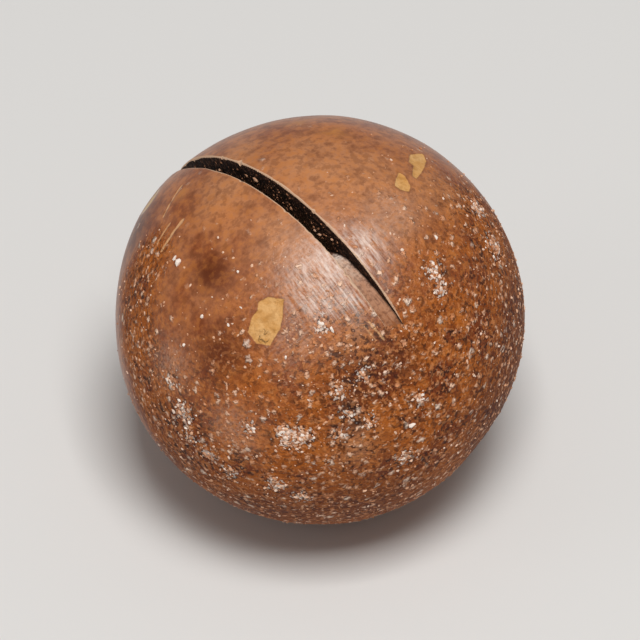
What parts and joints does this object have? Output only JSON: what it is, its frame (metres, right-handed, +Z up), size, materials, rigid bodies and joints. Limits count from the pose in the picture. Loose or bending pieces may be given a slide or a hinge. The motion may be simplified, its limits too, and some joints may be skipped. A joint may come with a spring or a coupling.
{
  "type": "macadamia nut in shell",
  "caption": "Round brown macadamia nut in its hard woody shell, with a narrow sawn slit over the top that opens the shell to its loose kernel.",
  "frame": {"origin": "middle of the object's box at the level of the small flat spot that it rests on", "axes": "+Z up, away from the surface it rests on; the slit runs over the top, in a near-upright plane whose normal points to azimuth 42 degrees from +X; the stalk scar is at the lower +X side and the tip opposite it"},
  "size_m": [0.025, 0.025, 0.0248],
  "materials": {
    "roasted_shell": "hard smooth nutshell, satin, chestnut brown with ochre patches and fine pale flecks",
    "roasted_kernel": "waxy cream to light brown nut flesh"
  },
  "bodies": {
    "root": {"shell": "roasted_shell", "kernel": "roasted_kernel"}
  },
  "joints": []
}
